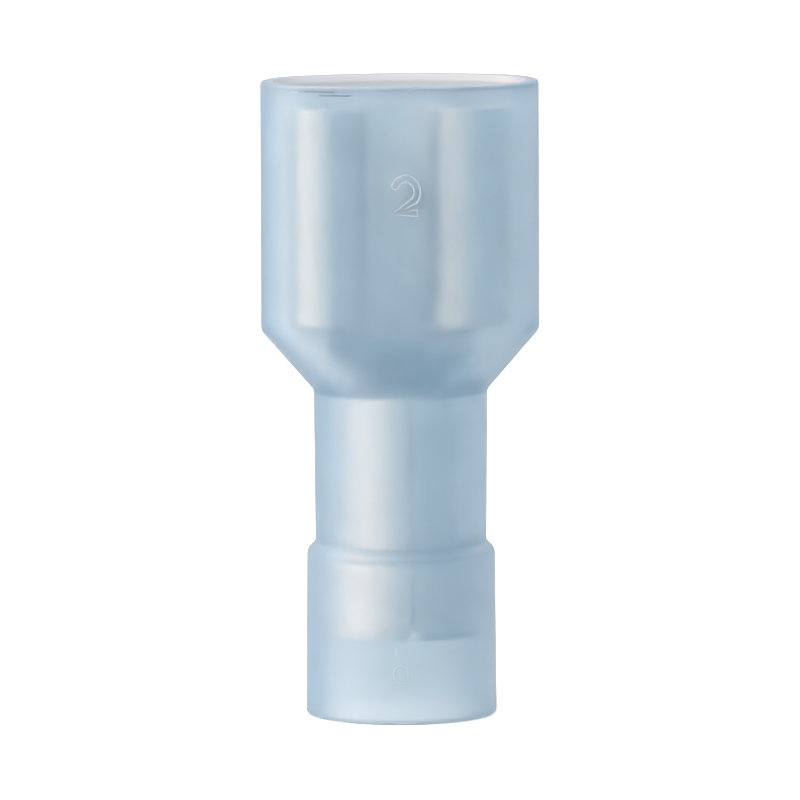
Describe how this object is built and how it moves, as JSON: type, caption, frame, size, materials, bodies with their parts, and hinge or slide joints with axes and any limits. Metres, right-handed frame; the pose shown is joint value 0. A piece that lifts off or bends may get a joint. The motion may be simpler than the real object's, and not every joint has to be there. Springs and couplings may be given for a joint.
{
  "type": "insulated female spade terminal",
  "caption": "Crimp-on female spade terminal with a rolled tab receptacle, a wire barrel and a support sleeve inside a translucent blue nylon housing.",
  "frame": {"origin": "centre of the wire end's face, where the part stands on its wire entry", "axes": "+Z along the terminal from the wire end to the mouth, +X along the mouth's width, -Y towards the open side of the curls, the front in the picture"},
  "size_m": [0.0096, 0.0066, 0.0219],
  "materials": {
    "blue_nylon": "moulded translucent nylon, pale blue, semi-matt",
    "tinned_brass": "rolled brass strip, tin plated, satin",
    "tinned_copper": "rolled copper strip, tin plated, satin"
  },
  "bodies": {
    "root": {"insulating_housing": "blue_nylon", "receptacle_terminal": "tinned_brass", "support_sleeve": "tinned_copper"}
  },
  "joints": []
}
